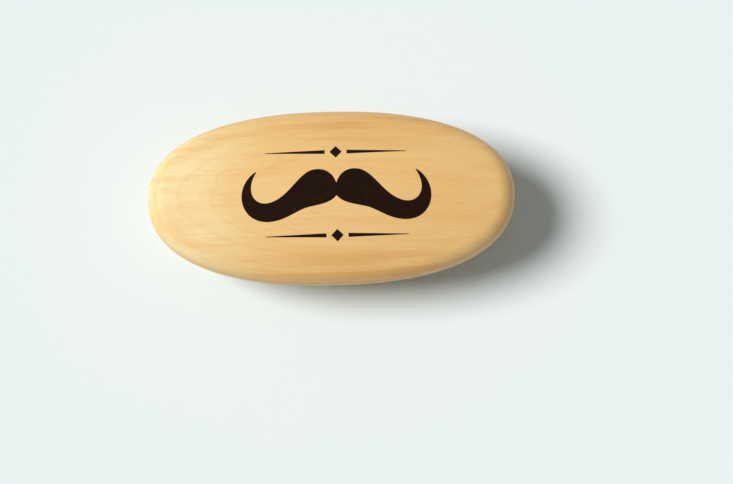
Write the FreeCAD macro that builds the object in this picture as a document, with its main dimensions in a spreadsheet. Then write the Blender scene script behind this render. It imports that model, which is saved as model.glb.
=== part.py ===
"""Palm beard brush: an oval wooden block, staple-set with straight rows of natural bristle tufts.

Row frame: +X along the block, +Y across it, +Z up. The origin is on the plane of the trimmed
bristle tips, under the block's centre, so the brush stands on its bristles with the palm side up.
Millimetres throughout.
"""

import FreeCAD, Part
import math
import os
import Sketcher
from FreeCAD import Placement, Rotation, Vector

PARTS_FOLDER = "parts"

# alias, value, what it sets (all lengths in mm, all angles in degrees)
SIZES = [
    ("block_length", 115.0, "overall length of the oval block"),
    ("block_width", 55.0, "overall width of the oval block"),
    ("block_thickness", 17.0, "height of the block under the top of its crown"),
    ("end_radius", 20.5, "radius of the oval's two end arcs"),
    ("end_turn", 56.6, "how far round from the long axis the end arcs reach"),
    ("shoulder_turn", 79.5, "how far round the shoulder arcs reach, before the side arcs"),
    ("crown_radius_along", 420.0, "radius of the palm side's crown, lengthwise"),
    ("crown_radius_across", 62.0, "radius of the palm side's crown, crosswise"),
    ("palm_edge_radius", 6.0, "rounding between the crown and the side"),
    ("bristle_edge_radius", 3.5, "rounding between the side and the drilled face"),
    ("bristle_length", 18.0, "height of the bristles below the drilled face"),
    ("tuft_pitch", 4.8, "least distance between tufts in one row"),
    ("side_margin", 8.5, "from the side of the block to the outermost row"),
    ("end_margin", 7.0, "from the block's outline to the last tuft of each row"),
    ("side_lean", 6.0, "outward lean of the tufts in the outermost rows"),
    ("end_lean", 8.0, "outward lean of the tufts at the ends of the rows"),
    ("hole_diameter", 2.8, "drill for one tuft"),
    ("hole_depth", 9.0, "full-diameter depth of a tuft's hole"),
    ("drill_point_angle", 118.0, "included angle of the drill's point"),
    ("tuft_clearance", 0.05, "gap between a tuft and its hole, all round"),
    ("tip_diameter", 4.4, "spread of one tuft where it is trimmed"),
    ("fold_thickness", 1.0, "bristle folded over the anchor's inner edge"),
    ("fold_radius", 0.7, "rounding of the fold at the bottom of the hole"),
    ("anchor_height", 1.8, "width of the flat anchor wire, along the hole"),
    ("anchor_thickness", 0.4, "thickness of the flat anchor wire"),
    ("anchor_bite", 0.4, "how far each end of an anchor is driven into the wood"),
    ("anchor_bevel", 0.3, "sheared corners on the anchor's leading edge"),
    ("anchor_clearance", 0.03, "gap between the bristles and the anchor's faces"),
]

# alias, formula, what it works out: the oval's other arcs, which meet tangentially at the turns
WORKED_OUT = [
    ("end_offset", "block_length / 2 - end_radius", "centre of an end arc, along the block"),
    ("end_bulge", "block_width / 2 - end_radius", "how much wider the block is than its end arcs"),
    ("end_rise", "1 - sin(end_turn * 1 deg)", "what is left to rise at the end arc's last point"),
    ("end_run", "cos(end_turn * 1 deg)", "what is left to run there"),
    ("shoulder_rise", "1 - sin(shoulder_turn * 1 deg)", "the same for a shoulder arc"),
    ("shoulder_run", "cos(shoulder_turn * 1 deg)", "the same for a shoulder arc"),
    ("turning", "end_rise * shoulder_run - end_run * shoulder_rise", "both turns taken together"),
    (
        "shoulder_radius",
        "end_radius + (end_bulge * shoulder_run - end_offset * shoulder_rise) / turning",
        "radius of the four arcs between the ends and the sides",
    ),
    (
        "side_radius",
        "shoulder_radius + (end_offset * end_rise - end_bulge * end_run) / turning",
        "radius of the oval's two long side arcs",
    ),
]

ROWS_EACH_SIDE = 5  # rows of tufts beside the middle one
CROWN_REACH = 0.6  # how far the crown's cut reaches across, as a share of the block's width
LENGTH_TOLERANCE = 0.001  # two heights closer than this are the same

doc = FreeCAD.newDocument("beard_brush")


def make_sheet():
    """The spreadsheet of the driving sizes and what they work out to, one aliased cell each."""
    sheet = doc.addObject("Spreadsheet::Sheet", "Sizes")
    worked_out = [(alias, f"={formula}", note) for alias, formula, note in WORKED_OUT]
    for line, (alias, value, note) in enumerate(SIZES + worked_out, start=1):
        sheet.set(f"A{line}", alias)
        sheet.set(f"B{line}", str(value))
        sheet.setAlias(f"B{line}", alias)
        sheet.set(f"C{line}", note)
    doc.recompute()
    return sheet


sheet = make_sheet()


def size(alias):
    """The value of one aliased cell, for the places that have to be worked out here."""
    return float(sheet.get(alias))


def plane(body, role):
    """One of a body's own origin planes."""
    return next(feature for feature in body.Origin.OriginFeatures if feature.Role == role)


def new_sketch(body, name, role, height=None):
    """An empty sketch on one of the body's planes, raised by an expression if it is given."""
    sketch = body.newObject("Sketcher::SketchObject", name)
    sketch.AttachmentSupport = [(plane(body, role), "")]
    sketch.MapMode = "FlatFace"
    if height:
        sketch.setExpression("AttachmentOffset.Base.z", height)
    return sketch


def bind(sketch, constraint, expression):
    """Adds a dimension to the sketch and drives it by an expression on the sheet."""
    index = sketch.addConstraint(constraint)
    sketch.setExpression(f"Constraints[{index}]", expression)


# ---------------------------------------------------------------- outline of the block


def oval_arcs():
    """The outline's eight tangent arcs, anticlockwise from +X: centre, radius and two angles."""
    end, shoulder, side = size("end_radius"), size("shoulder_radius"), size("side_radius")
    end_turn, shoulder_turn = math.radians(size("end_turn")), math.radians(size("shoulder_turn"))
    end_x, side_y = size("end_offset"), size("block_width") / 2 - side
    shoulder_x = end_x - (shoulder - end) * math.cos(end_turn)
    shoulder_y = -(shoulder - end) * math.sin(end_turn)
    half, full = math.pi, 2 * math.pi
    return [
        (Vector(end_x, 0, 0), end, -end_turn, end_turn),
        (Vector(shoulder_x, shoulder_y, 0), shoulder, end_turn, shoulder_turn),
        (Vector(0, side_y, 0), side, shoulder_turn, half - shoulder_turn),
        (Vector(-shoulder_x, shoulder_y, 0), shoulder, half - shoulder_turn, half - end_turn),
        (Vector(-end_x, 0, 0), end, half - end_turn, half + end_turn),
        (Vector(-shoulder_x, -shoulder_y, 0), shoulder, half + end_turn, half + shoulder_turn),
        (Vector(0, -side_y, 0), side, half + shoulder_turn, full - shoulder_turn),
        (Vector(shoulder_x, -shoulder_y, 0), shoulder, full - shoulder_turn, full - end_turn),
    ]


def draw_oval(sketch):
    """Eight tangent arcs: ends centred on X, sides centred on Y and a shoulder between each."""
    z = Vector(0, 0, 1)
    arcs = [
        sketch.addGeometry(Part.ArcOfCircle(Part.Circle(centre, z, radius), start, stop), False)
        for centre, radius, start, stop in oval_arcs()
    ]
    for arc, following in zip(arcs, arcs[1:] + arcs[:1]):
        sketch.addConstraint(Sketcher.Constraint("Tangent", arc, 2, following, 1))
    right, back, left, front = arcs[::2]
    shoulders = arcs[1::2]
    for arc, axis in ((right, -1), (back, -2), (left, -1), (front, -2)):
        sketch.addConstraint(Sketcher.Constraint("PointOnObject", arc, 3, axis))
    alike = [(right, left), (back, front)] + [(shoulders[0], other) for other in shoulders[1:]]
    for arc, other in alike:
        sketch.addConstraint(Sketcher.Constraint("Equal", arc, other))
    radii = ((right, "end_radius"), (shoulders[0], "shoulder_radius"), (back, "side_radius"))
    for arc, alias in radii:
        bind(sketch, Sketcher.Constraint("Radius", arc, size(alias)), f"Sizes.{alias}")
    offset, sink = size("end_offset"), size("side_radius") - size("block_width") / 2
    sink_rule = "Sizes.side_radius - Sizes.block_width / 2"
    for ends in ((-1, 1, right, 3), (left, 3, -1, 1)):
        bind(sketch, Sketcher.Constraint("DistanceX", *ends, offset), "Sizes.end_offset")
    for ends in ((back, 3, -1, 1), (-1, 1, front, 3)):
        bind(sketch, Sketcher.Constraint("DistanceY", *ends, sink), sink_rule)


# ---------------------------------------------------------------- wooden block


def edge_names(feature, wanted):
    """Names of the feature's edges that pass a test on their lowest and highest Z."""
    return [
        f"Edge{number}"
        for number, edge in enumerate(feature.Shape.Edges, start=1)
        if wanted(edge.BoundBox.ZMin, edge.BoundBox.ZMax)
    ]


def draw_crown(sketch):
    """What the crown takes off, in section across the block, and the far axis it turns about."""
    across, along = size("crown_radius_across"), size("crown_radius_along")
    top = size("bristle_length") + size("block_thickness")
    reach, lid = CROWN_REACH * size("block_width"), top + size("block_thickness")
    drop = math.asin(reach / across)
    corner = top - across * (1 - math.cos(drop))
    circle = Part.Circle(Vector(0, top - across, 0), Vector(0, 0, 1), across)
    arc = sketch.addGeometry(
        Part.ArcOfCircle(circle, math.pi / 2 - drop, math.pi / 2 + drop), False
    )
    corners = [
        Vector(-reach, corner, 0),
        Vector(-reach, lid, 0),
        Vector(reach, lid, 0),
        Vector(reach, corner, 0),
    ]
    left, over, right = [
        sketch.addGeometry(Part.LineSegment(corners[i], corners[i + 1]), False) for i in range(3)
    ]
    axis_ends = [Vector(x, top - along, 0) for x in (-reach, reach)]
    axis = sketch.addGeometry(Part.LineSegment(*axis_ends), True)
    joined = [(arc, 2, left, 1), (left, 2, over, 1), (over, 2, right, 1), (right, 2, arc, 1)]
    for first, end, second, start in joined:
        sketch.addConstraint(Sketcher.Constraint("Coincident", first, end, second, start))
    for line in (left, right):
        sketch.addConstraint(Sketcher.Constraint("Vertical", line))
    for line in (over, axis):
        sketch.addConstraint(Sketcher.Constraint("Horizontal", line))
    sketch.addConstraint(Sketcher.Constraint("PointOnObject", arc, 3, -2))
    reach_rule = f"{CROWN_REACH} * Sizes.block_width"
    top_rule = "Sizes.bristle_length + Sizes.block_thickness"
    bind(sketch, Sketcher.Constraint("Radius", arc, across), "Sizes.crown_radius_across")
    for line, end in ((over, 2), (axis, 2)):
        bind(sketch, Sketcher.Constraint("DistanceX", -1, 1, line, end, reach), reach_rule)
    for line, end in ((over, 1), (axis, 1)):
        bind(sketch, Sketcher.Constraint("DistanceX", line, end, -1, 1, reach), reach_rule)
    heights = [
        (arc, 3, top - across, f"{top_rule} - Sizes.crown_radius_across"),
        (over, 1, lid, f"{top_rule} + Sizes.block_thickness"),
        (axis, 1, top - along, f"{top_rule} - Sizes.crown_radius_along"),
    ]
    for geometry, point, height, rule in heights:
        bind(sketch, Sketcher.Constraint("DistanceY", -1, 1, geometry, point, height), rule)


def make_blank():
    """The shaped block before it is drilled: oval pad, crowned palm side, rounded edges."""
    body = doc.addObject("PartDesign::Body", "Blank")
    outline = new_sketch(body, "Outline", "XY_Plane", "Sizes.bristle_length")
    draw_oval(outline)
    pad = body.newObject("PartDesign::Pad", "OvalPad")
    pad.Profile = outline
    pad.setExpression("Length", "Sizes.block_thickness")
    doc.recompute()

    section = new_sketch(body, "CrownSection", "YZ_Plane")
    draw_crown(section)
    crown = body.newObject("PartDesign::Groove", "Crown")
    crown.Profile = section
    crown.ReferenceAxis = (section, ["Axis0"])
    crown.Angle = 360
    doc.recompute()

    face, top = size("bristle_length"), size("bristle_length") + size("block_thickness")
    above_face = face + size("bristle_edge_radius")
    palm_edge = body.newObject("PartDesign::Fillet", "PalmEdge")
    palm_edge.Base = (crown, edge_names(crown, lambda low, high: above_face < low and high < top))
    palm_edge.setExpression("Radius", "Sizes.palm_edge_radius")
    doc.recompute()

    bristle_edge = body.newObject("PartDesign::Fillet", "BristleEdge")
    at_face = face + LENGTH_TOLERANCE
    bristle_edge.Base = (palm_edge, edge_names(palm_edge, lambda low, high: high < at_face))
    bristle_edge.setExpression("Radius", "Sizes.bristle_edge_radius")
    doc.recompute()
    body.Tip = bristle_edge
    return body


# ---------------------------------------------------------------- one hole, one tuft, one anchor
# Each is made upright at the origin: the drilled face is XY there, the wood is above it
# and the bristles hang below. It is then copied to every tuft's place.


def draw_polygon(sketch, points):
    """A closed outline through the points, each point fixed by its two coordinates.

    A point is (x, its expression, y, its expression).
    """
    corners = [Vector(x, y, 0) for x, _, y, _ in points]
    lines = [
        sketch.addGeometry(Part.LineSegment(corners[i - 1], corners[i]), False)
        for i in range(len(corners))
    ]
    for i, line in enumerate(lines):
        following = lines[(i + 1) % len(lines)]
        sketch.addConstraint(Sketcher.Constraint("Coincident", line, 2, following, 1))
    for line, (x, x_rule, y, y_rule) in zip(lines, points):
        place(sketch, line, 2, x, x_rule, y, y_rule)
    return lines


def place(sketch, geometry, point, x, x_rule, y, y_rule):
    """Fixes one point of the sketch by coordinates bound to the sheet; 0 pins it to an axis."""
    for value, rule, kind, axis in ((x, x_rule, "DistanceX", -2), (y, y_rule, "DistanceY", -1)):
        if rule == "0":
            sketch.addConstraint(Sketcher.Constraint("PointOnObject", geometry, point, axis))
        else:
            bind(sketch, Sketcher.Constraint(kind, -1, 1, geometry, point, value), rule)


def revolve(body, sketch, name):
    """A full turn of the sketch about its own vertical axis."""
    turned = body.newObject("PartDesign::Revolution", name)
    turned.Profile = sketch
    turned.ReferenceAxis = (sketch, ["V_Axis"])
    turned.Angle = 360
    doc.recompute()
    body.Tip = turned
    return turned


def make_drill():
    """The space one drill takes: it starts clear of the face and ends in the drill's point."""
    body = doc.addObject("PartDesign::Body", "Drill")
    sketch = new_sketch(body, "DrillProfile", "XZ_Plane")
    radius, depth = size("hole_diameter") / 2, size("hole_depth")
    point = radius / math.tan(math.radians(size("drill_point_angle") / 2))
    radius_rule, depth_rule = "Sizes.hole_diameter / 2", "Sizes.hole_depth"
    point_rule = "Sizes.hole_diameter / 2 / tan(Sizes.drill_point_angle * 1 deg / 2)"
    draw_polygon(
        sketch,
        [
            (0, "0", -radius, f"-{radius_rule}"),
            (radius, radius_rule, -radius, f"-{radius_rule}"),
            (radius, radius_rule, depth, depth_rule),
            (0, "0", depth + point, f"{depth_rule} + {point_rule}"),
        ],
    )
    revolve(body, sketch, "DrillBit")
    return body


def anchor_top():
    """How far the anchor's inner edge lies above the drilled face."""
    return size("hole_depth") - size("fold_thickness")


def make_anchor():
    """A flat wire cut a little wider than its hole, with its leading corners sheared off."""
    body = doc.addObject("PartDesign::Body", "Anchor")
    sketch = new_sketch(body, "AnchorProfile", "XZ_Plane")
    half, bevel = size("hole_diameter") / 2 + size("anchor_bite"), size("anchor_bevel")
    top, bottom = anchor_top(), anchor_top() - size("anchor_height")
    half_rule = "(Sizes.hole_diameter / 2 + Sizes.anchor_bite)"
    top_rule = "(Sizes.hole_depth - Sizes.fold_thickness)"
    bottom_rule = f"{top_rule} - Sizes.anchor_height"
    draw_polygon(
        sketch,
        [
            (half, half_rule, bottom, bottom_rule),
            (half, half_rule, top - bevel, f"{top_rule} - Sizes.anchor_bevel"),
            (half - bevel, f"{half_rule} - Sizes.anchor_bevel", top, top_rule),
            (bevel - half, f"Sizes.anchor_bevel - {half_rule}", top, top_rule),
            (-half, f"-{half_rule}", top - bevel, f"{top_rule} - Sizes.anchor_bevel"),
            (-half, f"-{half_rule}", bottom, bottom_rule),
        ],
    )
    strip = body.newObject("PartDesign::Pad", "Strip")
    strip.Profile = sketch
    strip.setExpression("Length", "Sizes.anchor_thickness")
    strip.SideType = "Symmetric"
    doc.recompute()
    body.Tip = strip
    return body


def longest_bristle():
    """Length of a tuft's axis below the face, enough for the trim to cut every leaning tuft."""
    lean = math.radians(math.hypot(size("side_lean"), size("end_lean")))
    return (size("bristle_length") + size("tip_diameter") * math.tan(lean)) / math.cos(lean)


def make_tuft():
    """A bunch of bristles folded over its anchor, with the slot that the anchor lies in."""
    body = doc.addObject("PartDesign::Body", "Tuft")
    profile = new_sketch(body, "TuftProfile", "XZ_Plane")
    root, tip = size("hole_diameter") / 2 - size("tuft_clearance"), size("tip_diameter") / 2
    top, low = size("hole_depth") - size("tuft_clearance"), longest_bristle()
    widest = root + (tip - root) * low / size("bristle_length")
    root_rule = "(Sizes.hole_diameter / 2 - Sizes.tuft_clearance)"
    top_rule = "Sizes.hole_depth - Sizes.tuft_clearance"
    lean_rule = "(sqrt(Sizes.side_lean ^ 2 + Sizes.end_lean ^ 2) * 1 deg)"
    low_rule = (
        f"(Sizes.bristle_length + Sizes.tip_diameter * tan({lean_rule})) / cos({lean_rule})"
    )
    widest_rule = (
        f"{root_rule} + (Sizes.tip_diameter / 2 - {root_rule}) * {low_rule} / Sizes.bristle_length"
    )
    draw_polygon(
        profile,
        [
            (root, root_rule, top, top_rule),
            (root, root_rule, 0, "0"),
            (widest, widest_rule, -low, f"-({low_rule})"),
            (0, "0", -low, f"-({low_rule})"),
            (0, "0", top, top_rule),
        ],
    )
    bunch = revolve(body, profile, "Bunch")
    fold = body.newObject("PartDesign::Fillet", "Fold")
    above_rest = top - LENGTH_TOLERANCE
    fold.Base = (bunch, edge_names(bunch, lambda low_z, high_z: low_z > above_rest))
    fold.setExpression("Radius", "Sizes.fold_radius")
    doc.recompute()

    section = new_sketch(body, "SlotSection", "YZ_Plane")
    half = size("anchor_thickness") / 2 + size("anchor_clearance")
    inner, outer = anchor_top(), anchor_top() - size("anchor_height") - size("anchor_clearance")
    half_rule = "(Sizes.anchor_thickness / 2 + Sizes.anchor_clearance)"
    inner_rule = "(Sizes.hole_depth - Sizes.fold_thickness)"
    outer_rule = f"{inner_rule} - Sizes.anchor_height - Sizes.anchor_clearance"
    draw_polygon(
        section,
        [
            (half, half_rule, outer, outer_rule),
            (half, half_rule, inner, inner_rule),
            (-half, f"-{half_rule}", inner, inner_rule),
            (-half, f"-{half_rule}", outer, outer_rule),
        ],
    )
    slot = body.newObject("PartDesign::Pocket", "Slot")
    slot.Profile = section
    slot.Type = "ThroughAll"
    slot.SideType = "Symmetric"
    doc.recompute()
    body.Tip = slot
    return body


# ---------------------------------------------------------------- rows


def row_half_length(across):
    """Half the length of the row at this distance from the middle, inside the field's oval."""
    end, shoulder, side = oval_arcs()[:3]
    for centre, radius, _, last in (end, shoulder):
        reach = radius - size("end_margin")
        if across <= centre.y + reach * math.sin(last):
            break
    else:
        centre, reach = side[0], side[1] - size("end_margin")
    return centre.x + math.sqrt(reach**2 - (across - centre.y) ** 2)


def row_places(row):
    """Placements of one row's tufts: on the drilled face, each turned to its own lean.

    Rows with a tuft in the middle alternate with rows that have a gap there.
    """
    outermost = size("block_width") / 2 - size("side_margin")
    across = outermost * row / ROWS_EACH_SIDE
    half, longest = row_half_length(abs(across)), row_half_length(0)
    middle = row % 2 == 0
    steps = math.floor(half / size("tuft_pitch") + (0 if middle else 0.5))
    count = 2 * steps + 1 if middle else 2 * steps
    places = []
    for number in range(count):
        along = -half + 2 * half * number / (count - 1)
        slope_x = math.tan(math.radians(size("end_lean") * along / longest))
        slope_y = math.tan(math.radians(size("side_lean") * across / outermost))
        turn = Rotation(Vector(0, 0, 1), Vector(-slope_x, -slope_y, 1))
        places.append(Placement(Vector(along, across, size("bristle_length")), turn))
    return places


def copies(master, name, places):
    """One compound of the master at every place, through a link array."""
    array = doc.addObject("App::Link", f"{name}_array")
    array.LinkedObject = master
    array.ShowElement = False
    array.ElementCount = len(places)
    array.PlacementList = places
    compound = doc.addObject("Part::Compound", name)
    compound.Links = [array]
    return compound


def boolean(kind, base, tool, name):
    """A Part::Cut, Part::Fuse or Part::Common of two objects."""
    result = doc.addObject(f"Part::{kind}", name)
    result.Base = base
    result.Tool = tool
    return result


def make_trim():
    """The space above the plane that the bristle tips are trimmed to."""
    box = doc.addObject("Part::Box", "AboveTrim")
    box.setExpression("Length", "2 * Sizes.block_length")
    box.setExpression("Width", "2 * Sizes.block_width")
    box.setExpression("Height", "Sizes.bristle_length + Sizes.block_thickness")
    box.setExpression("Placement.Base.x", "-Sizes.block_length")
    box.setExpression("Placement.Base.y", "-Sizes.block_width")
    return box


def make_brush():
    """Every sub-part, as {node name: document object}."""
    blank, drill, anchor, tuft = make_blank(), make_drill(), make_anchor(), make_tuft()
    above_trim = make_trim()
    places = [row_places(row) for row in range(-ROWS_EACH_SIDE, ROWS_EACH_SIDE + 1)]
    nodes = {}
    for number, row in enumerate(places, start=1):
        anchors = copies(anchor, f"anchors_row_{number:02d}", row)
        bunches = copies(tuft, f"untrimmed_row_{number:02d}", row)
        tufts = boolean("Common", bunches, above_trim, f"tufts_row_{number:02d}")
        nodes[anchors.Name] = anchors
        nodes[tufts.Name] = tufts
    pocket = boolean("Fuse", drill, anchor, "Pocket")
    nodes["block"] = boolean("Cut", blank, copies(pocket, "all_pockets", sum(places, [])), "block")
    doc.recompute()
    return nodes


def check(nodes):
    """Stops if any object failed, or if a sub-part isn't made of sound closed solids."""
    failed = [thing.Name for thing in doc.Objects if {"Invalid", "Error"} & set(thing.State)]
    if failed:
        raise RuntimeError(f"these objects failed: {failed}")
    for name, thing in nodes.items():
        shape = thing.Shape
        if shape.isNull() or not shape.isValid() or not shape.Solids:
            raise RuntimeError(f"{name} has no sound solid")


def export(nodes):
    """Writes each sub-part to its own STEP file, named after its node."""
    os.makedirs(PARTS_FOLDER, exist_ok=True)
    for name, thing in nodes.items():
        thing.Label = name
        thing.Shape.exportStep(os.path.join(PARTS_FOLDER, f"{name}.step"))
        print(f"{name}: {len(thing.Shape.Solids)} solids, {thing.Shape.Volume:.1f} mm3")


brush = make_brush()
check(brush)
export(brush)
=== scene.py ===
import math

import bmesh
import bpy
from mathutils import Matrix, Vector
from mathutils.geometry import delaunay_2d_cdt


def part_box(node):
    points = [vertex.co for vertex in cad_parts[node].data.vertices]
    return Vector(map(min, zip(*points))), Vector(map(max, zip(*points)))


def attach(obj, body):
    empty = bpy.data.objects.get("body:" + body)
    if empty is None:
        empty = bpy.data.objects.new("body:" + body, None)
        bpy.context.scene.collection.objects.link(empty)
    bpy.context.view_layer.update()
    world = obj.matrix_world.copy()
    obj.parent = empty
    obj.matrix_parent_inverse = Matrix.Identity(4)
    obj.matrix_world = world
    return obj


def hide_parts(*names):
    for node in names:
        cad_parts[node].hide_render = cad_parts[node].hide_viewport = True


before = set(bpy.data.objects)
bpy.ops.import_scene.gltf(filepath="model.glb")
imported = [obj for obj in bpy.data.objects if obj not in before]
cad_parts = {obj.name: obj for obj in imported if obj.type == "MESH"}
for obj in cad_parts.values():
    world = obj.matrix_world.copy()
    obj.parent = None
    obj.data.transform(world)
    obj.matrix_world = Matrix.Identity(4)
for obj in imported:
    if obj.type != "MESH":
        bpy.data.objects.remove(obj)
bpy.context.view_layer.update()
print("frame loaded:", len(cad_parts), "nodes")

mm = 0.001


def paint(red, green, blue):
    # a colour picked on screen, 0 to 255, as the linear one that a shader takes
    def linear(level):
        level /= 255
        return level / 12.92 if level <= 0.04045 else ((level + 0.055) / 1.055) ** 2.4

    return linear(red), linear(green), linear(blue), 1.0


def addObject(name, data):
    made = bpy.data.objects.new(name, data)
    bpy.context.scene.collection.objects.link(made)
    return made


class Wire:
    # one socket's output, which Python's operators build Math nodes on

    def __init__(self, board, socket):
        self.board = board
        self.socket = socket

    def output(self, name):
        return Wire(self.board, self.board.find(self.socket.node.outputs, name))

    def maths(self, operation, *values):
        return self.board.node("ShaderNodeMath", {"operation": operation}, dict(enumerate(values)))

    def __add__(self, other):
        return self.maths("ADD", self, other)

    def __radd__(self, other):
        return self.maths("ADD", other, self)

    def __sub__(self, other):
        return self.maths("SUBTRACT", self, other)

    def __rsub__(self, other):
        return self.maths("SUBTRACT", other, self)

    def __mul__(self, other):
        return self.maths("MULTIPLY", self, other)

    def __rmul__(self, other):
        return self.maths("MULTIPLY", other, self)

    def __truediv__(self, other):
        return self.maths("DIVIDE", self, other)

    def __rtruediv__(self, other):
        return self.maths("DIVIDE", other, self)

    def __pow__(self, other):
        return self.maths("POWER", self, other)

    def __rpow__(self, other):
        return self.maths("POWER", other, self)

    def fraction(self):
        return self.maths("FRACT", self)

    def cosine(self):
        return self.maths("COSINE", self)

    def sine(self):
        return self.maths("SINE", self)

    def atLeast(self, low):
        return self.maths("MAXIMUM", self, low)


class Board:
    # adds nodes to one tree

    def __init__(self, tree):
        self.tree = tree

    def find(self, sockets, name):
        if isinstance(name, int):
            return sockets[name]
        exact = [s for s in sockets if s.identifier == name]
        return (exact or [s for s in sockets if s.name == name and s.enabled])[0]

    def node(self, kind, settings=None, sockets=None, out=0):
        made = self.tree.nodes.new(kind)
        for name, value in (settings or {}).items():
            if name == "stops":
                self.setStops(made.color_ramp, value)
            elif name == "interpolation":
                made.color_ramp.interpolation = value
            else:
                setattr(made, name, value)
        for name, value in (sockets or {}).items():
            socket = self.find(made.inputs, name)
            if isinstance(value, Wire):
                self.tree.links.new(value.socket, socket)
            else:
                socket.default_value = value
        return Wire(self, self.find(made.outputs, out)) if made.outputs else made

    def setStops(self, ramp, stops):
        while len(ramp.elements) < len(stops):
            ramp.elements.new(1.0)
        for element, (place, level) in zip(ramp.elements, stops):
            element.position = place
            element.color = (level, level, level, 1.0)

    def ramp(self, value, stops, interpolation="EASE"):
        settings = {"stops": stops, "interpolation": interpolation}
        return self.node("ShaderNodeValToRGB", settings, {"Fac": value})

    def vector(self, operation, *values, out=0):
        return self.node("ShaderNodeVectorMath", {"operation": operation}, dict(enumerate(values)), out)

    def scaled(self, vector, factor):
        return self.node("ShaderNodeVectorMath", {"operation": "SCALE"}, {0: vector, "Scale": factor})

    def combine(self, x, y, z):
        return self.node("ShaderNodeCombineXYZ", None, {"X": x, "Y": y, "Z": z})

    def split(self, vector):
        x = self.node("ShaderNodeSeparateXYZ", None, {"Vector": vector})
        return x, x.output("Y"), x.output("Z")

    def mix(self, first, second, share, blend="MIX"):
        settings = {"data_type": "RGBA", "blend_type": blend}
        sockets = {"Factor_Float": share, "A_Color": first, "B_Color": second}
        return self.node("ShaderNodeMix", settings, sockets, "Result_Color")

    def remap(self, value, low, high):
        # 0 at low, 1 at high, easing in and out between them; low may be the greater
        settings = {"interpolation_type": "SMOOTHSTEP"}
        if low > high:
            sockets = {"Value": value, 1: high, 2: low, 3: 1.0, 4: 0.0}
        else:
            sockets = {"Value": value, 1: low, 2: high, 3: 0.0, 4: 1.0}
        return self.node("ShaderNodeMapRange", settings, sockets)

    def noise(self, vector, scale, detail=2.0, roughness=0.5):
        sockets = {"Vector": vector, "Scale": scale, "Detail": detail, "Roughness": roughness}
        return self.node("ShaderNodeTexNoise", None, sockets, "Fac")

    def objectMillimetres(self, stretch=(1.0, 1.0, 1.0)):
        # the piece's own coordinates in millimetres, squeezed along each axis by stretch
        place = self.node("ShaderNodeTexCoord", None, None, "Object")
        factors = tuple(s / mm for s in stretch)
        return self.vector("MULTIPLY", place, factors)


def newMaterial(name, constants):
    # an empty Principled material with its plain numbers set, and the board to build it on
    material = bpy.data.materials.new(name)
    material.use_nodes = True
    shader = material.node_tree.nodes["Principled BSDF"]
    for socket, value in constants.items():
        shader.inputs[socket].default_value = value
    return material, Board(material.node_tree), shader


def feed(board, shader, **wires):
    # links each wire to the socket of its name, with an underscore for the space in the name
    for socket, wire in wires.items():
        board.tree.links.new(wire.socket, shader.inputs[socket.replace("_", " ")])


def bumped(board, height, strength, distance):
    sockets = {"Height": height, "Strength": strength, "Distance": distance}
    return board.node("ShaderNodeBump", None, sockets)


woodLook = {
    "base": paint(240, 198, 129),
    # paler cream at the left end: partly the wood's own tone, partly a painted highlight where that end
    # faces the key light
    "cream": paint(252, 235, 182),
    "warm": paint(236, 181, 108),
    # of the rings' lines, and of the painted shade laid into the streaks near the top and bottom edges
    "line": paint(220, 163, 92),
    "pore": paint(178, 126, 66),
    "pithAbove": 80.0,  # how far over the palm side the rings' centre line runs, in mm
    "pithTilt": -0.062,
    "firstRing": 79.0,
    "ringGroup": 15.0,  # one run of growth rings of unequal widths, in mm
    "wander": 1.5,
    "ripple": 0.8,
    # where the pale cream and painted highlight of the left end start and are full, in mm along the block
    "creamAndHighlightFrom": -18.0,
    "creamAndHighlightTo": -52.0,
    "creamWander": 12.0,
    "creamAndHighlightShare": 0.75,
    "lineShare": (0.03, 0.34),  # where the wood is plain, and what streaks add to it
    "poreShare": 0.2,
    # the centre and the reach of each region where the streaks are darkened as painted shade near the top
    # and bottom edges, in mm
    "edgeShadeRegions": [((14.0, 21.0, 30.0), (46.0, 10.0, 26.0)), ((12.0, -26.0, 28.0), (58.0, 12.0, 26.0))],
    "edgeShadeCore": 0.2,
    "roughness": 0.48,
    "roughnessSpread": 0.12,
    "relief": 0.1 * mm,
    "reliefStrength": 0.05,
    "lineRelief": 0.4,
    "coat": 0.16,
    "coatRoughness": 0.4,
    "refraction": 1.45,
    # each pattern's size across the wood over its size along it, then scale, detail and roughness
    "patterns": {
        "swirl": (0.3, 0.05, 2.0, 0.5),
        "drift": (0.4, 0.022, 1.0, 0.5),
        "ripple": (0.25, 0.3, 2.0, 0.5),
        "fibre": (0.035, 2.6, 3.0, 0.6),
        "streak": (0.03, 0.42, 2.0, 0.5),
        "patch": (0.45, 0.035, 2.0, 0.5),
        "dash": (0.14, 3.4, 1.0, 0.5),
    },
    # places in a pattern or in a run of rings, each with the strength of its colour there
    "creamStops": [
        (0.0, 0.1), (0.28, 0.2), (0.36, 0.9), (0.5, 1.0), (0.56, 0.5), (0.7, 1.0), (1.0, 0.1),
    ],
    "lineStops": [
        (0.0, 0.0), (0.09, 0.1), (0.11, 0.6), (0.125, 0.0), (0.21, 0.1), (0.235, 1.0), (0.25, 0.0),
        (0.33, 0.1), (0.345, 0.8), (0.36, 0.0), (0.43, 0.1), (0.45, 0.9), (0.465, 0.0), (0.58, 0.1),
        (0.6, 0.7), (0.615, 0.0), (0.68, 0.1), (0.7, 1.0), (0.715, 0.0), (0.86, 0.1), (0.89, 0.9),
        (0.91, 0.0), (1.0, 0.0),
    ],
    "patchStops": [(0.4, 0.0), (0.7, 0.5)],
    "streakStops": [(0.42, 0.0), (0.7, 0.45)],
    "edgeShadeStops": [(0.3, 0.25), (0.65, 0.85)],
    "poreStops": [(0.0, 0.0), (0.66, 0.0), (0.76, 1.0), (1.0, 1.0)],
    "fibreStops": [(0.4, 0.0), (0.8, 0.14)],
}


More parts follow.
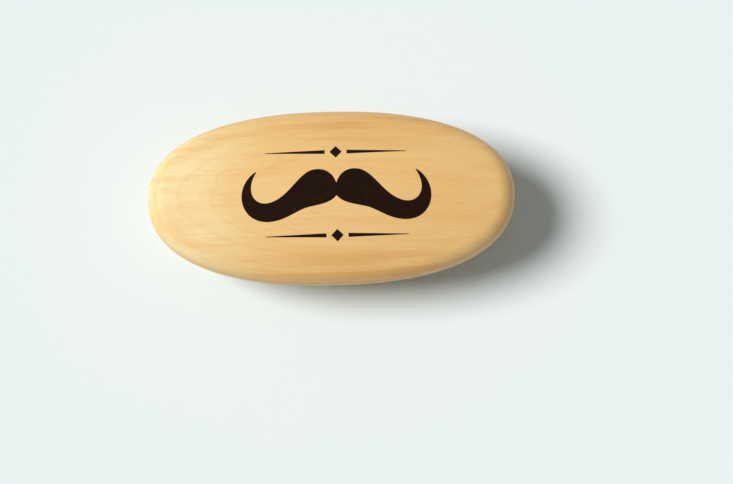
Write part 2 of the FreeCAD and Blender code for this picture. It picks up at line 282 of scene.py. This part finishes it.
def makeWoodMaterial(look, top):
    constants = {
        "Coat Weight": look["coat"],
        "Coat Roughness": look["coatRoughness"],
        "IOR": look["refraction"],
    }
    material, board, shader = newMaterial("lacquered pale wood", constants)
    pattern = {}
    for name, (slimness, scale, detail, roughness) in look["patterns"].items():
        grain = board.objectMillimetres((slimness, 1.0, 1.0))
        pattern[name] = board.noise(grain, scale, detail, roughness)
    swirl, drift, ripple = (pattern[name] - 0.5 for name in ("swirl", "drift", "ripple"))
    fibre, streak = pattern["fibre"], pattern["streak"]

    # growth rings round a centre line high over the block, so the crown cuts them into long ovals
    place = board.objectMillimetres()
    x, y, z = board.split(place)
    across = y + swirl * (4 * look["wander"])
    height = (top / mm + look["pithAbove"]) - z + x * look["pithTilt"] + drift * (2 * look["wander"])
    distance = (across * across + height * height) ** 0.5 + ripple * look["ripple"]
    turn = ((distance - look["firstRing"]) / look["ringGroup"]).fraction()
    # the rings pale towards the left end: partly the wood's own tone, partly a painted highlight on the
    # end the key light falls on
    creamAndHighlightSide = board.remap(x + swirl * look["creamWander"], look["creamAndHighlightFrom"], look["creamAndHighlightTo"])
    cream = board.ramp(turn, look["creamStops"]) * creamAndHighlightSide
    lines = board.ramp(turn, look["lineStops"])
    pores = board.ramp(pattern["dash"], look["poreStops"], "LINEAR")
    # painted shade: the wood's streaks are darkened near the top and bottom edges of the palm side
    edgeShade = 0.0
    for centre, reach in look["edgeShadeRegions"]:
        away = board.vector("DIVIDE", board.vector("SUBTRACT", place, centre), reach)
        edgeShade = board.remap(board.vector("LENGTH", away, out="Value"), 1.0, look["edgeShadeCore"]) + edgeShade

    plainLines, streakLines = look["lineShare"]
    colour = board.mix(look["base"], look["cream"], cream * look["creamAndHighlightShare"])
    colour = board.mix(colour, look["warm"], board.ramp(pattern["patch"], look["patchStops"]))
    colour = board.mix(colour, look["warm"], board.ramp(streak, look["streakStops"]))
    colour = board.mix(colour, look["line"], board.ramp(streak, look["edgeShadeStops"]) * edgeShade)
    colour = board.mix(colour, look["line"], lines * (streak * streakLines + plainLines))
    poreShare = pores * look["poreShare"] + board.ramp(fibre, look["fibreStops"])
    colour = board.mix(colour, look["pore"], poreShare)
    relief = bumped(board, fibre + lines * look["lineRelief"], look["reliefStrength"], look["relief"])
    feed(board, shader, Base_Color=colour, Normal=relief)
    feed(board, shader, Roughness=fibre * look["roughnessSpread"] + look["roughness"])
    return material


bristleLook = {
    # root to tip: the bristles' own cream, set paler than it is and palest at the tips, as painted light
    # standing in for light that passes through the thin bristles
    "root": paint(252, 222, 162),
    "tip": paint(255, 246, 214),
    "dark": paint(238, 196, 132),
    "darkStops": [(0.6, 0.0), (1.0, 0.5)],  # each bristle has a random tone from 0 to 1
    "paleStops": [(0.0, 0.5), (0.35, 0.0)],
    "mottleStops": [(0.45, 0.0), (0.8, 0.15)],
    "mottleScale": 1.6,
    "roughness": 0.4,
    "roughnessSpread": 0.2,
    "gloss": 0.25,
}


def makeBristleMaterial(look):
    material, board, shader = newMaterial("natural cream bristle", {"Specular IOR Level": look["gloss"]})
    along = board.node("ShaderNodeAttribute", {"attribute_name": "along"}, None, "Fac")
    tone = board.node("ShaderNodeAttribute", {"attribute_name": "tone"}, None, "Fac")
    mottle = board.noise(board.objectMillimetres((1.0, 1.0, 0.2)), look["mottleScale"], 2.0)
    # paler towards the tips: partly the bristles' own tone, partly painted light standing in for light
    # through the thin ends
    colour = board.mix(look["root"], look["tip"], along)
    colour = board.mix(colour, look["dark"], board.ramp(tone, look["darkStops"]))
    colour = board.mix(colour, look["tip"], board.ramp(tone, look["paleStops"]))
    colour = board.mix(colour, look["dark"], board.ramp(mottle, look["mottleStops"]))
    roughness = mottle * look["roughnessSpread"] + look["roughness"]
    feed(board, shader, Base_Color=colour, Roughness=roughness)
    return material


wireLook = {
    "steel": paint(196, 192, 184),
    "stain": paint(150, 138, 118),
    "stainStops": [(0.4, 0.0), (0.75, 0.6)],
    "stainScale": 0.6,
    "drawnScale": 1.5,  # of the fine lines that drawing leaves along the wire
    "roughness": 0.3,
    "roughnessSpread": 0.25,
    "relief": 0.05 * mm,
    "reliefStrength": 0.15,
}


def makeWireMaterial(look):
    material, board, shader = newMaterial("drawn flat wire", {"Metallic": 1.0})
    drawn = board.noise(board.objectMillimetres((0.6, 9.0, 9.0)), look["drawnScale"], 3.0)
    tarnish = board.noise(board.objectMillimetres(), look["stainScale"], 2.0)
    colour = board.mix(look["steel"], look["stain"], board.ramp(tarnish, look["stainStops"]))
    roughness = drawn * look["roughnessSpread"] + look["roughness"]
    relief = bumped(board, drawn, look["reliefStrength"], look["relief"])
    feed(board, shader, Base_Color=colour, Roughness=roughness, Normal=relief)
    return material


inkLook = {
    "ink": paint(26, 9, 2),
    "worn": paint(56, 30, 13),
    "wearStops": [(0.48, 0.0), (0.75, 0.6)],
    "wearScale": 0.9,
    "grainScale": 2.8,
    "grainShare": 0.6,  # how much of the wear follows the wood's grain
    "roughness": 0.7,
    "roughnessSpread": 0.15,
    "gloss": 0.08,
}


def makeInkMaterial(look):
    material, board, shader = newMaterial("dark brown print", {"Specular IOR Level": look["gloss"]})
    grain = board.noise(board.objectMillimetres((0.05, 1.0, 1.0)), look["grainScale"], 3.0)
    rubbed = board.noise(board.objectMillimetres(), look["wearScale"], 3.0)
    wear = grain * look["grainShare"] + rubbed * (1 - look["grainShare"])
    worn = board.ramp(wear, look["wearStops"])
    roughness = grain * look["roughnessSpread"] + look["roughness"]
    feed(board, shader, Base_Color=board.mix(look["ink"], look["worn"], worn), Roughness=roughness)
    return material


tuftSearch = {
    "weld": 0.001 * mm,
    "tipSlice": 0.05 * mm,  # how deep the end is whose middle counts as the tuft's tip
    "headSlice": 0.6 * mm,
}


def islands(mesh):
    # the separate solids of a node, as lists of corner places
    shell = bmesh.new()
    shell.from_mesh(mesh)
    bmesh.ops.remove_doubles(shell, verts=shell.verts, dist=tuftSearch["weld"])
    left, found = set(shell.verts), []
    while left:
        edge = [left.pop()]
        group = []
        while edge:
            vertex = edge.pop()
            group.append(vertex.co.copy())
            near = {e.other_vert(vertex) for e in vertex.link_edges} & left
            left -= near
            edge.extend(near)
        found.append(group)
    shell.free()
    return found


def middle(points):
    xs, ys = [p.x for p in points], [p.y for p in points]
    return (min(xs) + max(xs)) / 2, (min(ys) + max(ys)) / 2


def tuftAxes(node, face):
    # where each tuft's axis crosses the drilled face, and how far it leans per metre down
    axes = []
    for group in islands(node.data):
        low, high = min(p.z for p in group), max(p.z for p in group)
        tipX, tipY = middle([p for p in group if p.z < low + tuftSearch["tipSlice"]])
        headX, headY = middle([p for p in group if p.z > high - tuftSearch["headSlice"]])
        slope = Vector(((tipX - headX) / (high - low), (tipY - headY) / (high - low), -1.0))
        axes.append((Vector((headX, headY, high)) + slope * (high - face), slope))
    return sorted(axes, key=lambda axis: axis[0].x)


blockLow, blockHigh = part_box("block")
rowNames = sorted(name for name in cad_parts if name.startswith("tufts_row_"))
rowAxes = {name: tuftAxes(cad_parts[name], blockLow.z) for name in rowNames}
allAxes = [axis for name in rowNames for axis in rowAxes[name]]
print("tufts found:", len(allAxes))

blockShape = {
    "ovalPower": 2.3,  # 2 is an ellipse, more is fuller
    "crownAlong": 420 * mm,
    "crownAcross": 62 * mm,
    "palmEdge": 6 * mm,
    "bristleEdge": 3.5 * mm,
    "holeRadius": 1.4 * mm,
    "holeDepth": 9 * mm,
    "drillPoint": 0.6,  # its height over the hole's radius
    "aroundCount": 320,
    "crownRings": 30,
    "palmEdgeSteps": 12,
    "wallSteps": 3,
    "bristleEdgeSteps": 7,
    "holeSides": 20,
}


def crownHeight(x, y):
    # the palm side: an arc across the block, swung lengthwise about a far axis
    shape = blockShape
    reach = shape["crownAlong"] - shape["crownAcross"] + math.sqrt(shape["crownAcross"] ** 2 - y * y)
    return blockHigh.z - shape["crownAlong"] + math.sqrt(reach * reach - x * x)


def outline(count, fineness=12):
    # places at even steps round the full oval, each with its direction into the block
    halfLength, halfWidth, power = blockHigh.x, blockHigh.y, blockShape["ovalPower"]
    fine = []
    for step in range(count * fineness + 1):
        angle = 2 * math.pi * step / (count * fineness)
        x, y = math.cos(angle), math.sin(angle)
        x = math.copysign(abs(x) ** (2 / power), x) * halfLength
        y = math.copysign(abs(y) ** (2 / power), y) * halfWidth
        fine.append(Vector((x, y)))
    walked = [0.0]
    for spot, following in zip(fine, fine[1:]):
        walked.append(walked[-1] + (following - spot).length)
    places, nearest = [], 0
    for step in range(count):
        while walked[nearest] < walked[-1] * step / count:
            nearest += 1
        x, y = fine[nearest]
        steepX = math.copysign(abs(x / halfLength) ** (power - 1), x) / halfLength
        steepY = math.copysign(abs(y / halfWidth) ** (power - 1), y) / halfWidth
        places.append((Vector((x, y)), -Vector((steepX, steepY)).normalized()))
    return places


def sideProfile(spot, inward):
    # from the crown over the palm edge, down the wall and round to the drilled face
    shape = blockShape
    radius, lower = shape["palmEdge"], shape["bristleEdge"]
    nudge = 0.1 * mm

    def crownAt(inset):
        return crownHeight(*(spot + inward * inset))

    # the edge's arc touches the crown where both lean alike, which a few rounds settle
    slope = 0.0
    for _ in range(4):
        touch = radius * (1 - math.sin(slope))
        slope = math.atan((crownAt(touch + nudge) - crownAt(touch - nudge)) / (2 * nudge))
    centre = crownAt(touch) - radius * math.cos(slope)
    line = []
    for step in range(shape["palmEdgeSteps"] + 1):
        angle = slope + (math.pi / 2 - slope) * step / shape["palmEdgeSteps"]
        line.append((radius * (1 - math.sin(angle)), centre + radius * math.cos(angle)))
    wallEnd = blockLow.z + lower
    for step in range(1, shape["wallSteps"]):
        line.append((0.0, centre + (wallEnd - centre) * step / shape["wallSteps"]))
    for step in range(shape["bristleEdgeSteps"] + 1):
        angle = math.pi / 2 * step / shape["bristleEdgeSteps"]
        line.append((lower * (1 - math.cos(angle)), wallEnd - lower * math.sin(angle)))
    return [Vector((*(spot + inward * inset), height)) for inset, height in line]


def addHole(shell, foot, slope, rim):
    # the wall and the end of one blind hole, above the ring of corners round its mouth
    shape = blockShape
    top = foot - slope * shape["holeDepth"]
    lift = top - foot
    inner = [shell.verts.new(vertex.co + lift) for vertex in rim]
    tip = shell.verts.new(top - slope * shape["holeRadius"] * shape["drillPoint"])
    for i, vertex in enumerate(rim):
        following = (i + 1) % len(rim)
        shell.faces.new((vertex, inner[i], inner[following], rim[following]))
        shell.faces.new((inner[i], tip, inner[following]))
        shell.edges.get((vertex, rim[following])).smooth = False


def addDrilledFace(shell, border, axes):
    # the flat underside: everything inside the border but the mouths of the holes
    shape = blockShape
    sides, radius, face = shape["holeSides"], shape["holeRadius"], blockLow.z
    tolerance = 1e-7
    corners = [vertex.co.xy for vertex in border]
    loops = [list(range(len(border)))]
    rings = []
    for foot, slope in axes:
        start = len(corners)
        rings.append(range(start, start + sides))
        for i in range(sides):
            angle = 2 * math.pi * i / sides
            corners.append(foot.xy + Vector((math.cos(angle), math.sin(angle))) * radius)
        loops.append(list(rings[-1]))
    edges = [(loop[i - 1], loop[i]) for loop in loops for i in range(len(loop))]
    places, _, triangles, origins, _, _ = delaunay_2d_cdt(corners, edges, [], 1, tolerance)
    made = {origin: i for i, sources in enumerate(origins) for origin in sources}
    vertices = {made[i]: vertex for i, vertex in enumerate(border)}
    for i, place in enumerate(places):
        if i not in vertices:
            vertices[i] = shell.verts.new((place.x, place.y, face))
    mouths = [{made[i] for i in ring} for ring in rings]
    mouthOf = {i: number for number, mouth in enumerate(mouths) for i in mouth}
    for triangle in triangles:
        numbers = {mouthOf.get(i, -1 - i) for i in triangle}
        if len(numbers) > 1 or min(numbers) < 0:
            flat = shell.faces.new([vertices[i] for i in reversed(triangle)])
            flat.smooth = False
    for (foot, slope), ring in zip(axes, rings):
        addHole(shell, foot, slope, [vertices[made[i]] for i in ring])


def finishPiece(shell, name, material):
    mesh = bpy.data.meshes.new(name)
    shell.to_mesh(mesh)
    shell.free()
    mesh.materials.append(material)
    piece = addObject(name, mesh)
    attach(piece, "root")
    return piece


def makeBlock(material, axes):
    shape = blockShape
    shell = bmesh.new()
    places = outline(shape["aroundCount"])
    lines = [sideProfile(spot, inward) for spot, inward in places]
    rings = []
    for step in range(1, shape["crownRings"]):
        share = step / shape["crownRings"]
        inner = [Vector((line[0].x * share, line[0].y * share)) for line in lines]
        rings.append([shell.verts.new((p.x, p.y, crownHeight(p.x, p.y))) for p in inner])
    for level in range(len(lines[0])):
        rings.append([shell.verts.new(line[level]) for line in lines])
    summit = shell.verts.new((0, 0, crownHeight(0, 0)))
    for i in range(len(places)):
        following = (i + 1) % len(places)
        shell.faces.new((summit, rings[0][i], rings[0][following]))
        for upper, lower in zip(rings, rings[1:]):
            shell.faces.new((upper[i], lower[i], lower[following], upper[following]))
    for face in shell.faces:
        face.smooth = True
    addDrilledFace(shell, rings[-1], axes)
    shell.normal_update()
    return finishPiece(shell, "wood_block", material)


bristleSizes = {
    "Bristles per tuft": 110,
    "Depth in hole": 3 * mm,
    "Height": blockLow.z,
    "Root radius": 1.27 * mm,
    "Tip radius": 2.3 * mm,
    "Bristle radius": 0.115 * mm,
    "Ragged trim": 0.45 * mm,
    "Tip clearance": 0.1,  # the share of the trim that every bristle loses, as its cut end tilts
    "Tip taper": 0.45,
    "Splay power": 1.15,
    "Bend": 0.3 * mm,
    "Stray": 1.3 * mm,
    "Stray power": 9.0,  # the higher, the fewer bristles stand out of their tuft
    "Steps": 6,
    "Sides": 3,
    "Seed": 7,
}


def attribute(board, name, kind):
    return board.node("GeometryNodeInputNamedAttribute", {"data_type": kind}, {"Name": name}, "Attribute")


def stored(board, geometry, name, kind, wire):
    settings = {"data_type": kind, "domain": "POINT"}
    sockets = {"Geometry": geometry, "Name": name, "Value": wire}
    return board.node("GeometryNodeStoreNamedAttribute", settings, sockets)


def randomLevel(board, low, high, seed, identity=None):
    sockets = {"Min_001": low, "Max_001": high, "Seed": seed}
    if identity:
        sockets["ID"] = identity
    return board.node("FunctionNodeRandomValue", {"data_type": "FLOAT"}, sockets, "Value_001")


def bristleTree(material):
    # each vertex of the object is a tuft: it is repeated as many thin tapered tubes that splay
    tree = bpy.data.node_groups.new("bristle tuft", "GeometryNodeTree")
    tree.interface.new_socket("Geometry", in_out="INPUT", socket_type="NodeSocketGeometry")
    for name, value in bristleSizes.items():
        kind = "NodeSocketInt" if isinstance(value, int) else "NodeSocketFloat"
        tree.interface.new_socket(name, in_out="INPUT", socket_type=kind)
    tree.interface.new_socket("Geometry", in_out="OUTPUT", socket_type="NodeSocketGeometry")
    goldenAngle, fullTurn, unevenness = 2.39996, 6.28, 0.35  # of the spiral in a tuft, in radians
    board = Board(tree)
    given = board.node("NodeGroupInput")
    size = {name: given.output(name) for name in bristleSizes}

    copies = board.node(
        "GeometryNodeDuplicateElements",
        {"domain": "POINT"},
        {"Geometry": given, "Amount": size["Bristles per tuft"]},
    )
    number = copies.output("Duplicate Index")
    tuft = attribute(board, "tuft", "INT")
    turned = randomLevel(board, 0.0, fullTurn, size["Seed"], tuft)
    jitter = randomLevel(board, -unevenness, unevenness, size["Seed"] + 1)
    spiral = number * goldenAngle + turned + jitter
    rim = ((number + 0.5) / size["Bristles per tuft"]) ** 0.5
    disc = board.combine(spiral.cosine() * rim, spiral.sine() * rim, 0.0)
    # most bristles bend a little, and a few stand well out of their tuft
    bend = board.node(
        "FunctionNodeRandomValue",
        {"data_type": "FLOAT_VECTOR"},
        {0: (-1.0, -1.0, 0.0), 1: (1.0, 1.0, 0.0), "Seed": size["Seed"] + 2},
    )
    loose = randomLevel(board, 0.0, 1.0, size["Seed"] + 5) ** size["Stray power"]
    stray = board.scaled(bend, size["Bend"] + size["Stray"] * loose)
    marks = [
        ("disc", "FLOAT_VECTOR", disc),
        ("stray", "FLOAT_VECTOR", stray),
        ("tuftAt", "FLOAT_VECTOR", board.node("GeometryNodeInputPosition")),
        ("tone", "FLOAT", randomLevel(board, 0.0, 1.0, size["Seed"] + 3)),
        ("trim", "FLOAT", randomLevel(board, 0.0, 1.0, size["Seed"] + 4)),
    ]
    points = copies
    for name, kind, wire in marks:
        points = stored(board, points, name, kind, wire)

    # a strand of any length does, for each of its points is placed anew below
    line = board.node("GeometryNodeCurvePrimitiveLine", None, {"End": (0.0, 0.0, -10 * mm)})
    strand = board.node("GeometryNodeResampleCurve", None, {"Curve": line, "Count": size["Steps"]})
    placed = board.node("GeometryNodeInstanceOnPoints", None, {"Points": points, "Instance": strand})
    strands = board.node("GeometryNodeRealizeInstances", None, {"Geometry": placed})
    along = board.node("GeometryNodeSplineParameter", None, None, "Factor")
    strands = stored(board, strands, "along", "FLOAT", along)

    total = size["Height"] + size["Depth in hole"]
    inHole = size["Depth in hole"] / total
    splay = ((along - inHole) / (1.0 - inHole)).atLeast(0.0) ** size["Splay power"]
    spread = size["Root radius"] + (size["Tip radius"] - size["Root radius"]) * splay
    shortened = (attribute(board, "trim", "FLOAT") + size["Tip clearance"]) * size["Ragged trim"]
    drop = (total - shortened) * along
    down = board.scaled(attribute(board, "slope", "FLOAT_VECTOR"), drop)
    out = board.scaled(attribute(board, "disc", "FLOAT_VECTOR"), spread)
    aside = board.scaled(attribute(board, "stray", "FLOAT_VECTOR"), splay * along)
    axis = board.vector("ADD", attribute(board, "tuftAt", "FLOAT_VECTOR"), down)
    place = board.vector("ADD", axis, board.vector("ADD", out, aside))
    strands = board.node("GeometryNodeSetPosition", None, {"Geometry": strands, "Position": place})
    section = board.node(
        "GeometryNodeCurvePrimitiveCircle",
        {"mode": "RADIUS"},
        {"Resolution": size["Sides"], "Radius": size["Bristle radius"]},
    )
    tubes = board.node(
        "GeometryNodeCurveToMesh",
        None,
        {
            "Curve": strands,
            "Profile Curve": section,
            "Scale": 1.0 - along**3.0 * size["Tip taper"],
            "Fill Caps": True,
        },
    )
    smooth = board.node("GeometryNodeSetShadeSmooth", None, {"Geometry": tubes})
    whole = board.node("GeometryNodeRealizeInstances", None, {"Geometry": smooth})
    dressed = board.node("GeometryNodeSetMaterial", None, {"Geometry": whole, "Material": material})
    board.node("NodeGroupOutput", None, {"Geometry": dressed})
    return tree


def makeBristles(name, nodeName, axes, firstTuft, tree):
    depth = bristleSizes["Depth in hole"]
    mesh = bpy.data.meshes.new(name)
    mesh.from_pydata([foot - slope * depth for foot, slope in axes], [], [])
    leans = mesh.attributes.new("slope", "FLOAT_VECTOR", "POINT")
    leans.data.foreach_set("vector", [part for _, slope in axes for part in slope])
    numbers = mesh.attributes.new("tuft", "INT", "POINT")
    numbers.data.foreach_set("value", range(firstTuft, firstTuft + len(axes)))
    piece = addObject(name, mesh)
    modifier = piece.modifiers.new("bristles", "NODES")
    modifier.node_group = tree
    inputs = {s.name: s.identifier for s in tree.interface.items_tree if s.in_out == "INPUT"}
    for label, value in bristleSizes.items():
        modifier[inputs[label]] = value
    modifier[inputs["Seed"]] = bristleSizes["Seed"] + firstTuft
    graph = bpy.context.evaluated_depsgraph_get()
    piece.data = bpy.data.meshes.new_from_object(
        piece.evaluated_get(graph), preserve_all_data_layers=True, depsgraph=graph
    )
    piece.modifiers.clear()
    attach(piece, "root")
    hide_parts(nodeName)
    return piece


markSizes = {
    "centre": (1.5 * mm, -0.5 * mm),
    "lift": 0.03 * mm,  # of the film over the crown
    "sink": 0.05 * mm,
    # from here on in millimetres on the flat drawing; the edges run from its middle to the curl
    "upperEdge": [
        (0.0, 3.2), (1.0, 6.5), (3.6, 8.1), (6.8, 7.6), (11.6, 6.9),
        (14.4, -0.8), (20.4, -2.5), (25.2, -3.9), (28.6, 0.9), (24.7, 7.1),
    ],
    "lowerEdge": [
        (0.0, -0.7), (1.8, -3.2), (5.6, -3.5), (9.0, -4.3), (12.4, -5.1),
        (15.8, -8.3), (21.0, -8.5), (30.2, -8.8), (32.2, 2.5), (24.9, 7.3),
    ],
    "ruleHalfLength": 22.0,
    "ruleGap": 3.4,
    "ruleThickness": 1.25,
    "ruleFullness": 1.15,  # the share of its thickness at the mark's middle, 1 less at its end
    "ruleHeights": (-13.0, 13.2),
    "diamondHalf": 1.9,
}


def bezier(points, share):
    while len(points) > 1:
        points = [a.lerp(b, share) for a, b in zip(points, points[1:])]
    return points[0]


def edgeLine(corners, steps):
    # places along cubic stretches that share their end corners
    line = [Vector(corners[0])]
    for start in range(0, len(corners) - 1, 3):
        stretch = [Vector(corner) for corner in corners[start : start + 4]]
        line.extend(bezier(stretch, step / steps) for step in range(1, steps + 1))
    return line


def moustacheGrid(steps=40, lanes=8):
    # one half lies between its upper and lower edges, and is mirrored about the middle
    upper = edgeLine(markSizes["upperEdge"], steps)
    lower = edgeLine(markSizes["lowerEdge"], steps)
    half = [[a.lerp(b, lane / lanes) for lane in range(lanes + 1)] for a, b in zip(upper, lower)]
    mirrored = [[Vector((-p.x, p.y)) for p in row] for row in reversed(half[1:])]
    return mirrored + half


def ruleGrid(left, right, height, steps=20):
    # thins out towards its outer end
    rows = []
    for i in range(steps + 1):
        x = left + (right - left) * i / steps
        share = markSizes["ruleFullness"] - abs(x) / markSizes["ruleHalfLength"]
        half = markSizes["ruleThickness"] / 2 * share
        rows.append([Vector((x, height + half)), Vector((x, height - half))])
    return rows


def diamondGrid(height, steps=6):
    half = markSizes["diamondHalf"]
    right, down = Vector((half, -half)) / steps, Vector((-half, -half)) / steps
    top = Vector((0, height + half))
    return [[top + right * i + down * j for j in range(steps + 1)] for i in range(steps + 1)]


def addFilm(shell, grid):
    # a closed film over the grid of places, in mm, that follows the crown
    centre = Vector(markSizes["centre"])

    def corner(place, lift):
        x, y = place * mm + centre
        return shell.verts.new((x, y, crownHeight(x, y) + lift))

    top = [[corner(place, markSizes["lift"]) for place in row] for row in grid]
    under = [[corner(place, -markSizes["sink"]) for place in row] for row in grid]
    for i in range(len(grid) - 1):
        for j in range(len(grid[0]) - 1):
            square = (i, j), (i + 1, j), (i + 1, j + 1), (i, j + 1)
            shell.faces.new([top[a][b] for a, b in square])
            shell.faces.new([under[a][b] for a, b in reversed(square)])
    border = [(i, 0) for i in range(len(grid))]
    border += [(len(grid) - 1, j) for j in range(1, len(grid[0]))]
    border += [(i, len(grid[0]) - 1) for i in range(len(grid) - 2, -1, -1)]
    border += [(0, j) for j in range(len(grid[0]) - 2, 0, -1)]
    for (a, b), (c, d) in zip(border, border[1:] + border[:1]):
        shell.faces.new((under[a][b], under[c][d], top[c][d], top[a][b]))


def makeMark(material):
    shell = bmesh.new()
    grids = [moustacheGrid()]
    gap, reach = markSizes["ruleGap"], markSizes["ruleHalfLength"]
    for height in markSizes["ruleHeights"]:
        grids += [ruleGrid(gap, reach, height), ruleGrid(-reach, -gap, height), diamondGrid(height)]
    for grid in grids:
        addFilm(shell, grid)
    bmesh.ops.recalc_face_normals(shell, faces=shell.faces)
    return finishPiece(shell, "moustache_mark", material)


wood = makeWoodMaterial(woodLook, blockHigh.z)
block = makeBlock(wood, allAxes)
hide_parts("block")
print("block made:", len(block.data.polygons), "faces")

tree = bristleTree(makeBristleMaterial(bristleLook))
tuftsSoFar = 0
for rowName in rowNames:
    number = rowName.rsplit("_", 1)[1]
    row = makeBristles(f"bristles_row_{number}", rowName, rowAxes[rowName], tuftsSoFar, tree)
    tuftsSoFar += len(rowAxes[rowName])
    print("bristles made:", row.name, len(row.data.polygons), "faces")

makeMark(makeInkMaterial(inkLook))
print("mark made")

wire = makeWireMaterial(wireLook)
anchors = [node for name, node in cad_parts.items() if name.startswith("anchors_row_")]
for node in anchors:
    node.data.materials.clear()
    node.data.materials.append(wire)
print("anchors dressed:", len(anchors), "rows")

studio = {
    "floorColour": (0.87, 0.925, 0.925, 1.0),
    "floorReach": 3.0,
    "fadeFrom": 0.35,
    "fadeTo": 0.9,
    "backdrop": (0.865, 0.915, 0.91, 1.0),
    "fillStrength": 0.23,  # of the same backdrop as a light, while it shows at its full colour
    "keyFrom": (-0.65, 0.09, 0.75),
    "keyAngle": math.radians(26.0),
    "keyStrength": 3.15,
}


def makeFloor():
    shell = bmesh.new()
    bmesh.ops.create_grid(shell, x_segments=1, y_segments=1, size=studio["floorReach"])
    mesh = bpy.data.meshes.new("floor")
    shell.to_mesh(mesh)
    shell.free()
    floor = addObject("floor", mesh)
    constants = {"Roughness": 1.0, "Specular IOR Level": 0.0, "Base Color": studio["floorColour"]}
    material, board, shader = newMaterial("pale floor", constants)
    mesh.materials.append(material)
    # the floor thins out far from the brush, so it has no horizon
    place = board.node("ShaderNodeTexCoord", None, None, "Object")
    away = board.vector("LENGTH", place, out="Value")
    solid = board.remap(away, studio["fadeTo"], studio["fadeFrom"])
    feed(board, shader, Alpha=solid)


def makeWorld():
    world = bpy.data.worlds.new("studio")
    world.use_nodes = True
    bpy.context.scene.world = world
    board = Board(world.node_tree)
    camera = board.node("ShaderNodeLightPath", None, None, "Is Camera Ray")
    mirrored = camera.output("Is Glossy Ray").atLeast(camera.output("Is Transmission Ray"))
    seen = mirrored.atLeast(camera)
    backdrop = world.node_tree.nodes["Background"]
    backdrop.inputs["Color"].default_value = studio["backdrop"]
    fill = studio["fillStrength"]
    feed(board, backdrop, Strength=seen * (1.0 - fill) + fill)


def makeKey():
    lamp = bpy.data.lights.new("key", "SUN")
    lamp.angle = studio["keyAngle"]
    lamp.energy = studio["keyStrength"]
    holder = addObject("key", lamp)
    holder.location = studio["keyFrom"]
    holder.rotation_euler = Vector(studio["keyFrom"]).to_track_quat("Z", "Y").to_euler()


viewpoint = {
    "elevation": math.radians(79.3),
    "roll": math.radians(1.3),
    "distance": 500 * mm,
    "lens": 78.3,
    "targetHeight": 27 * mm,
    "aim": (10.9 * mm, -14.4 * mm),  # the frame's middle, right of and below the block's
}


def makeCamera():
    tilt, roll = viewpoint["elevation"], viewpoint["roll"]
    forward = Vector((0, math.cos(tilt), -math.sin(tilt)))
    right = Vector((1, 0, 0))
    up = right.cross(forward)
    rolledRight = right * math.cos(roll) - up * math.sin(roll)
    rolledUp = right * math.sin(roll) + up * math.cos(roll)
    target = Vector((0, 0, viewpoint["targetHeight"]))
    place = target - forward * viewpoint["distance"]
    aim = target + rolledRight * viewpoint["aim"][0] + rolledUp * viewpoint["aim"][1]
    ahead = (aim - place).normalized()
    side = ahead.cross(rolledUp).normalized()
    top = side.cross(ahead)
    camera = addObject("camera", bpy.data.cameras.new("camera"))
    camera.data.lens = viewpoint["lens"]
    camera.matrix_world = Matrix.Translation(place) @ Matrix((side, top, -ahead)).transposed().to_4x4()
    bpy.context.scene.camera = camera


makeFloor()
makeWorld()
makeKey()
makeCamera()
bpy.context.scene.view_settings.view_transform = "Standard"
print("studio made")
